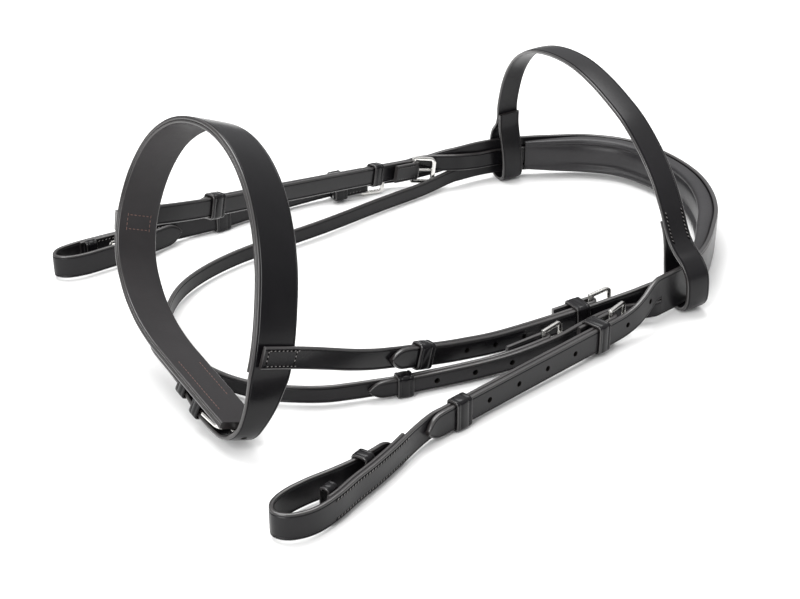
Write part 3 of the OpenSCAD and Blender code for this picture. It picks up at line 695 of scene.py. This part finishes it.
strap("headpiece_look", "headpiece", crown.p, CROWN_W, POINT_T, creases=(0, 0.3), dome=(0, 0.1))
e = near_point.total
strap("near_cheek_point_look", "near_cheek_point", near_point.p, STRAP_W, POINT_T, 0, TIP,
      holes=[e - 50.4 - i * PITCH for i in range(7)], track=near_point)
e = near_throat.total
strap("near_throat_point_look", "near_throat_point", near_throat.p, THROAT_W, POINT_T, 0, THROAT_TIP,
      holes=[e - 42 - i * PITCH for i in range(3)], track=near_throat)
e = far_point.total
strap("far_cheek_point_look", "far_cheek_point", far_point.p, STRAP_W, POINT_T, 0, TIP,
      holes=[e - 44 - i * PITCH for i in range(6)], track=far_point)
chaped("throatlash", throat, 1, THROAT_W)
e = slip.total
strap("sliphead_look", "sliphead", slip.p, SLIP_W, POINT_T, SLIP_TIP, SLIP_TIP, mats=("band", "edge"),
      holes=[61.4 + i * SLIP_PITCH for i in range(5)] + [e - 60 - i * SLIP_PITCH for i in range(5)],
      track=slip)


def rounded_loop(points, cuts=3):
    """A closed curve through the points, by cubic pieces."""
    p = np.array(points, float)
    n = len(p)
    out = []
    for i in range(n):
        a, b, c, d = p[i - 1], p[i], p[(i + 1) % n], p[(i + 2) % n]
        for k in range(cuts):
            u = k / cuts
            m0, m1 = (c - a) * 0.42, (d - b) * 0.42
            out.append((2 * u**3 - 3 * u**2 + 1) * b + (u**3 - 2 * u**2 + u) * m0
                       + (3 * u**2 - 2 * u**3) * c + (u**3 - u**2) * m1)
    return out


def make_pad():
    """Two stuffed rolls and a centre panel sewn under the headpiece, thinning out at both ends."""
    loop = rounded_loop(PAD_HALF + [[a, -b] for a, b in reversed(PAD_HALF)])
    root, core = PAD_HALF[0][0], PAD_HALF[1][1]
    p = crown.part(PAD_STOPS[0], crown.total - PAD_STOPS[1], 3.0)
    n = len(p) - 1
    s = run(p)
    rings = []
    for i in range(n + 1):
        l = left(p, i)
        fade = min(1, (s[i] + 4) / PAD_FADES[0], (s[n] - s[i] + 4) / PAD_FADES[1])
        k = 0.16 + 0.84 * math.sin(math.pi / 2 * fade)
        pucker = 0.16 * math.sin(s[i] * 1.35) * k
        ring = []
        for a, b in loop:
            deep = root + (a - root) * k if a > root else a
            high = core + (abs(b) - core) * (0.3 + 0.7 * k) if abs(b) > core else abs(b)
            seam = math.exp(-((abs(b) - 8.2) / 1.1) ** 2) if a > 7 else 0
            deep -= pucker * seam
            ring.append(p[i] + l * deep + UP * math.copysign(high, b))
        rings.append(ring)
    verts, faces, _ = tube(rings)
    obj = finish_piece("poll_pad_look", verts, faces, [0] * len(faces), ["pad"], "poll_pad",
                       angle=70)
    return obj


make_pad()


# ---- browband ----
def brow_axes():
    yaw = math.radians(-BROW_YAW)
    rz = np.array([[math.cos(yaw), -math.sin(yaw), 0], [math.sin(yaw), math.cos(yaw), 0], [0, 0, 1]])
    r = rz @ leaned(math.radians(-BROW_LEAN))
    o = np.array(BROW_BASE) + r @ np.array([-BROW_W / 2, 0, 0.8])
    return o, r @ np.array([0.0, 1, 0]), r @ np.array([0.0, 0, 1]), r @ np.array([1.0, 0, 0])


def flat_sweep(name, node, points, origin, u, v, across, w, section_of, mats,
               widths=None, last=0):
    """Sweeps a strap section along a curve in the plane of u and v; its width lies along across."""
    q2 = np.array(points, float)
    q = tipped(np.c_[q2, np.zeros(len(q2))], 0, last)[:, :2] if last else q2
    s = run(q)
    n = len(q)
    rings = []
    for i in range(n):
        d = unit(q[min(i + 1, n - 1)] - q[max(i - 1, 0)])
        side = u * -d[1] + v * d[0]
        full = w if widths is None else np.interp(s[i], widths[0], widths[1])
        hw = full / 2 * narrowing(s[-1] - s[i], last)
        c = origin + u * q[i][0] + v * q[i][1] + across * w / 2
        rings.append([c + side * a + across * b for a, b, _ in section_of(hw)])
    kind = [k for _, _, k in section_of(w / 2)]
    verts, faces, along = tube(rings)
    m = len(kind)
    kinds = [1 if j < 0 else max(kind[j], kind[(j + 1) % m]) for j in along]
    return finish_piece(name, verts, faces, kinds, mats, node)


bo, bu, bv, bw = brow_axes()
brow_line = smooth(NEAR_LOOP + BROW_ARCH + FAR_LOOP, 2.5)
flat_sweep("browband_look", "browband", brow_line, bo, bu, bv, bw, BROW_W,
           lambda hw: strap_section(hw, BROW_T, (0.34, 0.12), (0.55, 0)), ["leather", "edge"])

# ---- noseband ----
ring_turn = leaned(math.radians(LEAN))
no = np.array(RING, float)
nu, nv, nw = (ring_turn @ np.array(axis) for axis in ([0.0, 1, 0], [0.0, 0, 1], [1.0, 0, 0]))
nose_line = smooth(NOSE, 3)
nose_s = run(nose_line)
E = nose_s[-1]


def nose_point(s):
    return np.array([np.interp(s, nose_s, nose_line[:, k]) for k in range(2)])


def nose_frame(s):
    """Place on the band's middle, heading, inward side and the band's width direction."""
    a, b = nose_point(s - 0.5), nose_point(s + 0.5)
    d = unit(b - a)
    q = nose_point(s)
    c = no + nu * q[0] + nv * q[1] + nw * NOSE_W / 2
    return c, nu * d[0] + nv * d[1], nu * -d[1] + nv * d[0], nw


class NoseTrack:
    frame = staticmethod(nose_frame)


band = flat_sweep("noseband_look", "noseband", nose_line, no, nu, nv, nw, NOSE_W,
                  lambda hw: strap_section(hw, NOSE_T, (0, 0.4), (0, 0.25)), ["band", "edge"],
                  widths=([0, E - TAPER_FROM, E - TAPER_TO, E], [NOSE_W, NOSE_W, BILLET_W, BILLET_W]),
                  last=TIP)
punch(band, NoseTrack(), [E - back for back in BILLET_HOLES])
keep = nose_s <= E - LINING_STOP
inner = []
for s in nose_s[keep]:
    a, b = nose_point(s - 0.5), nose_point(s + 0.5)
    d = unit(b - a)
    inner.append(nose_point(s) + np.array([-d[1], d[0]]) * ((NOSE_T + LINING_T) / 2 + 0.02))
flat_sweep("noseband_lining_look", "noseband_lining", inner, no, nu, nv, nw, NOSE_W,
           lambda hw: strap_section(hw, LINING_T, (0.0, 0), (0.15, 0)), ["lining", "edge"])


def chin_chape_look():
    r = CHIN_R + 0.2 + CHAPE_T / 2
    b = CHIN_BAR
    p = [[-30, b[1] + r + 5.85], [-44, b[1] + r + 3.7], [-58, b[1] + r + 1.4], [b[0], b[1] + r]]
    p += [[b[0] - r * math.sin(a), b[1] + r * math.cos(a)] for a in np.radians(np.arange(15, 181, 15))]
    p += [[b[0] + 4, b[1] - r + 0.1], [b[0] + 8, b[1] - r + 0.4]]
    c = no + nw * (NOSE_W - STRAP_W) / 2
    flat_sweep("chin_chape_look", "chin_chape", p, c, nu, nv, nw, STRAP_W,
               lambda hw: strap_section(hw, CHAPE_T, (0, 0), (0, 0)), ["leather", "edge"])


chin_chape_look()


def chin_keeper(node, a, deep, length):
    on_band = 10.2 + (a + 87) * 0.152
    q = math.radians(8.7)
    d = nu * math.cos(q) + nv * math.sin(q)
    l = -nu * math.sin(q) + nv * math.cos(q)
    c = no + nu * a + nv * on_band + nw * NOSE_W / 2
    T = KEEPER_T
    b = BILLET_W / 2 + GAP
    # an open U round the billet, its ends sewn into the band
    corner = 1.0
    path = [(0.2, b, 0, 1), (-deep * 0.5, b, 0, 1), (-deep + corner, b, 0, 1)]
    path += [(-deep + corner - corner * math.sin(t), b - corner + corner * math.cos(t), -math.sin(t),
              math.cos(t)) for t in np.radians([22, 45, 67, 90])]
    path = path + [(-deep, 0, -1, 0)] + [(x, -y, nx, -ny) for x, y, nx, ny in reversed(path)]
    L = length / 2
    line, groove = L * 0.55, 0.3
    outer = [(-L + 0.1, T - 0.45), (-L + 0.45, T - 0.1),
             (-line, T), (-line + 0.4, T - groove), (-line + 0.8, T),
             (line - 0.8, T), (line - 0.4, T - groove), (line, T),
             (L - 0.45, T - 0.1), (L - 0.1, T - 0.45)]
    profile = [(-L, 0.5), *outer, (L, 0.5), (L - 0.35, 0.08), (-L + 0.35, 0.08)]
    rings = [[c + d * px + l * (x + nx * r) + nw * (y + ny * r) for px, r in profile]
             for x, y, nx, ny in path]
    verts, faces, _ = tube(rings)
    finish_piece(node + "_look", verts, faces, [0] * len(faces), ["band", "edge"], node)


chin_keeper("chin_keeper_upper", -38, 8, 9)
chin_keeper("chin_keeper_lower", -56, 10.4, 8)

# ---- straps, keepers and buckles ----
chaped("near_cheekpiece", near_cheek, 1, STRAP_W, TIP)
chaped("far_cheekpiece", far_cheek, -1, STRAP_W, TIP)
chaped("near_nose_strap", near_nose, 1, SLIP_W, mats=("band", "edge"))
chaped("far_nose_strap", far_nose, -1, SLIP_W)
NEAR_BACK, FAR_BACK = (132, 203), (127, 194)
for node, track, (a, b), side in (("near_cheek_backing", near_cheek, NEAR_BACK, 1),
                                  ("far_cheek_backing", far_cheek, FAR_BACK, -1)):
    backing = shift(track.part(a, b), side * BACK_SIDE)
    strap(node + "_look", node, backing, STRAP_W, BACK_T, creases=(0, 0))

for side, nose_t, nose_back, nose_run, cheek, cheek_back, cheek_run in (
        ("near", near_nose, 134, (10.2, True), near_cheek, 138, 15),
        ("far", far_nose, 213, (42, False), far_cheek, 119, 20)):
    i = 1 if side == "near" else -1
    keeper_of(side + "_nose_keeper", nose_t, i, nose_back, SLIP_W, KEEPER_LEN, False)
    keeper_of(side + "_nose_runner", nose_t, i, nose_run[0], SLIP_W, RUNNER_LEN, nose_run[1])
    keeper_of(side + "_cheek_keeper", cheek, i, cheek_back, STRAP_W, KEEPER_LEN, False)
    keeper_of(side + "_cheek_runner", cheek, i, cheek_run, STRAP_W, RUNNER_LEN, True)
keeper_of("throat_runner", throat, 1, 98.5, THROAT_W, RUNNER_LEN, False)
loop_keeper("near_billet_keeper", near_cheek, 172, 1, 6.9)
loop_keeper("near_bit_keeper", near_cheek, 138, 1, 3.2)
loop_keeper("far_billet_keeper", far_cheek, 173, -1, 10.6)
loop_keeper("far_bit_keeper", far_cheek, 133, -1, 3.2)
hook_stud("near_hook_stud", near_cheek, 159.4, 1)
hook_stud("far_hook_stud", far_cheek, 151, -1)

for name, track, i, w, swing in (("near_nose", near_nose, 1, SLIP_W, 8),
                                 ("far_nose", far_nose, -1, SLIP_W, -34),
                                 ("near_cheek", near_cheek, 1, STRAP_W, 8),
                                 ("far_cheek", far_cheek, -1, STRAP_W, -8),
                                 ("throat", throat, 1, THROAT_W, 12)):
    place = bar_frame(track, i, swing)
    buckle(name + "_buckle", place, w, BUCKLE_LEN, WIRE_R)
    tongue(name + "_tongue", place, BUCKLE_LEN, WIRE_R, -i)
place = chin_frame()
buckle("chin_buckle", place, BILLET_W, CHIN_LEN, CHIN_R)
tongue("chin_tongue", place, CHIN_LEN, CHIN_R, 1)

# ---- stitching ----
def sewn(name, places, slant=38, colour="thread"):
    """Saddle stitching: slanted near-black marks, painted shade for the awl holes, with a short
    light-grey stitch lying between each pair whose colour is partly thread and partly painted
    highlight.
    """
    slits, threads = [], []
    q = math.radians(slant)
    for c, d, out in places:
        v = np.cross(out, d)
        # a flat near-black mark on the surface at each stitch: painted shade for the awl hole
        slits.append((c - out * 0.02, d * math.cos(q) + v * math.sin(q), out))
        threads.append((c + d * 1.3, d * math.cos(q / 2) + v * math.sin(q / 2), out))
    stitches(name + "_slits", slits, size=(1.35, 0.5, 0.17), colour="slit")
    # light-grey stitches: partly thread colour, partly painted highlight
    stitches(name, threads, size=(0.7, 0.27, 0.27), colour=colour)


def box(track, s0, s1, across, half):
    """A stitched box on one face of a strap."""
    return (row(track, s0, s1, across, half, slant=0) + row(track, s0, s1, across, -half, slant=0)
            + up_row(track, s0, across, -half + 2, half - 2)
            + up_row(track, s1, across, -half + 2, half - 2))


out = -(PLY_T / 2 + 0.1)
back_out = BACK_SIDE + BACK_T / 2 + 0.12
near_rows, far_rows = [], []
for h in (5.7, -5.7):
    near_rows += row(near_cheek, NEAR_BACK[0] + 2, NEAR_BACK[1] - 2, out, h)
    far_rows += row(far_cheek, FAR_BACK[0] + 2, FAR_BACK[1] - 2, -out, h)
    near_rows += row(near_cheek, NEAR_BACK[0] + 2, NEAR_BACK[1] - 2, back_out, h, slant=0)
    far_rows += row(far_cheek, FAR_BACK[0] + 2, FAR_BACK[1] - 2, -back_out, h, slant=0)
sewn("near_bit_end_stitching", near_rows)
sewn("far_bit_end_stitching", far_rows)

sewn("near_tab_stitching", box(near_nose, 2.4, 21, out, 4.5), slant=8)
sewn("far_tab_stitching", box(far_nose, 2.4, 22, -out, 4.5), slant=8)
fold_rows = []
for track, i, w in ((near_nose, 1, SLIP_W), (far_nose, -1, SLIP_W), (near_cheek, 1, STRAP_W),
                    (far_cheek, -1, STRAP_W), (throat, 1, THROAT_W)):
    ends = track.total - 24, track.total - 5
    for h in (w / 2 - 2.3, 2.3 - w / 2):
        fold_rows += row(track, *ends, i * (2 * FOLD_R + PLY_T / 2 - 0.05), h)
        fold_rows += row(track, *ends, i * (out + 0.15), h)
sewn("buckle_end_stitching", fold_rows)


def band_row(s0, s1, deep, high0, high1, pitch=2.8):
    """Stitches along the inside of the noseband, from one height of its width to another."""
    places = []
    n = max(1, round(abs(s1 - s0) / pitch))
    for k in range(n + 1):
        c, d, l, h = nose_frame(s0 + (s1 - s0) * k / n)
        places.append((c + l * deep + h * (high0 + (high1 - high0) * k / n), d, l))
    return places


def band_up(s, deep, high0, high1, pitch=2.6):
    """Stitches across the inside of the noseband."""
    c, _, l, h = nose_frame(s)
    n = max(1, round(abs(high1 - high0) / pitch))
    return [(c + l * deep + h * (high0 + (high1 - high0) * k / n), h, l) for k in range(n + 1)]


def along_band(place):
    """How far along the noseband's curve its point nearest to place lies."""
    return float(nose_s[np.argmin([np.hypot(*(q - np.array(place))) for q in nose_line])])


inside = NOSE_T / 2 + LINING_T + 0.2
brown = []
for at in (along_band(FAR_TAB), along_band(NEAR_TAB)):
    brown += band_row(at - 4.5, at + 4.5, inside, -8, -8) + band_row(at - 4.5, at + 4.5, inside, 8, 8)
    brown += band_up(at - 4.5, inside, -5.6, 5.6) + band_up(at + 4.5, inside, -5.6, 5.6)
brown += band_row(14, 62, inside, -7.5, -7.5) + band_row(30, 62, inside, 7, 7)
stitches("lining_stitching", brown, size=(0.95, 0.27, 0.24), colour="brown thread")

leg = []
leg_s = run(brow_line)
for base in ([14.6, 51.4], [238.6, 62]):
    j = int(np.argmin(np.hypot(*(brow_line - np.array(base)).T)))
    for h in (-5.9, 5.9):
        for k in range(-3, 5):
            s = leg_s[j] + k * 2.7
            q = np.array([np.interp(s, leg_s, brow_line[:, c]) for c in (0, 1)])
            q2 = np.array([np.interp(s + 0.5, leg_s, brow_line[:, c]) for c in (0, 1)])
            d = unit(q2 - q)
            side = bu * -d[1] + bv * d[0]
            leg.append((bo + bu * q[0] + bv * q[1] + bw * (BROW_W / 2 + h) + side * (BROW_T / 2 + 0.42),
                        bu * d[0] + bv * d[1], side))
sewn("browband_stitching", leg, slant=30)

# ---- camera, floor and light ----
cam = bpy.data.cameras.new("camera")
cam.lens, cam.sensor_width = 67.5, 36
cam.clip_end = 20
cam_obj = bpy.data.objects.new("camera", cam)
bpy.context.scene.collection.objects.link(cam_obj)
forward = Vector((0.5338, 0.7084, -0.4617)).normalized()
right = Vector((0.7986, -0.6018, 0)).normalized()
above = right.cross(forward)
eye = Vector((-0.5626, -0.7018, 0.4602))
turn = Matrix((right, above, -forward)).transposed().to_4x4()
cam_obj.matrix_world = Matrix.Translation(eye) @ turn
bpy.context.scene.camera = cam_obj

floor_mesh = bpy.data.meshes.new("floor")
floor_mesh.from_pydata([(-6, -6, 0), (6, -6, 0), (6, 6, 0), (-6, 6, 0)], [], [(0, 1, 2, 3)])
floor = bpy.data.objects.new("floor", floor_mesh)
bpy.context.scene.collection.objects.link(floor)
fm, _, fb = new_material("pale floor")
fb.inputs["Base Color"].default_value = (0.93, 0.93, 0.925, 1)
fb.inputs["Roughness"].default_value = 0.85
fb.inputs["Specular IOR Level"].default_value = 0.2
floor.data.materials.append(fm)

bpy.context.scene.view_settings.view_transform = "Standard"
world = bpy.data.worlds.new("studio")
world.use_nodes = True
wnt = world.node_tree
sky = wnt.nodes["Background"]
coord = wnt.nodes.new("ShaderNodeTexCoord")
split = wnt.nodes.new("ShaderNodeSeparateXYZ")
fall = wnt.nodes.new("ShaderNodeValToRGB")
stops = fall.color_ramp.elements
stops[0].position, stops[0].color = 0.0, (0.24, 0.24, 0.25, 1)
stops[1].position, stops[1].color = 0.85, (1.05, 1.05, 1.05, 1)
middle = stops.new(0.35)
middle.color = (0.62, 0.62, 0.63, 1)
wnt.links.new(coord.outputs["Generated"], split.inputs[0])
wnt.links.new(split.outputs["Z"], fall.inputs["Fac"])
wnt.links.new(fall.outputs["Color"], sky.inputs["Color"])
sky.inputs["Strength"].default_value = 1.0
bpy.context.scene.world = world


def area(name, place, target, size, power):
    light = bpy.data.lights.new(name, "AREA")
    light.shape = "RECTANGLE"
    light.size, light.size_y = size
    light.energy = power
    obj = bpy.data.objects.new(name, light)
    bpy.context.scene.collection.objects.link(obj)
    obj.location = place
    obj.rotation_euler = (Vector(target) - Vector(place)).to_track_quat("-Z", "Y").to_euler()


area("top box", (0.1, 0.5, 1.7), (0, 0, 0), (1.6, 1.0), 30)
area("side box", (-1.3, -0.5, 0.9), (0, 0, 0), (0.6, 0.9), 15)
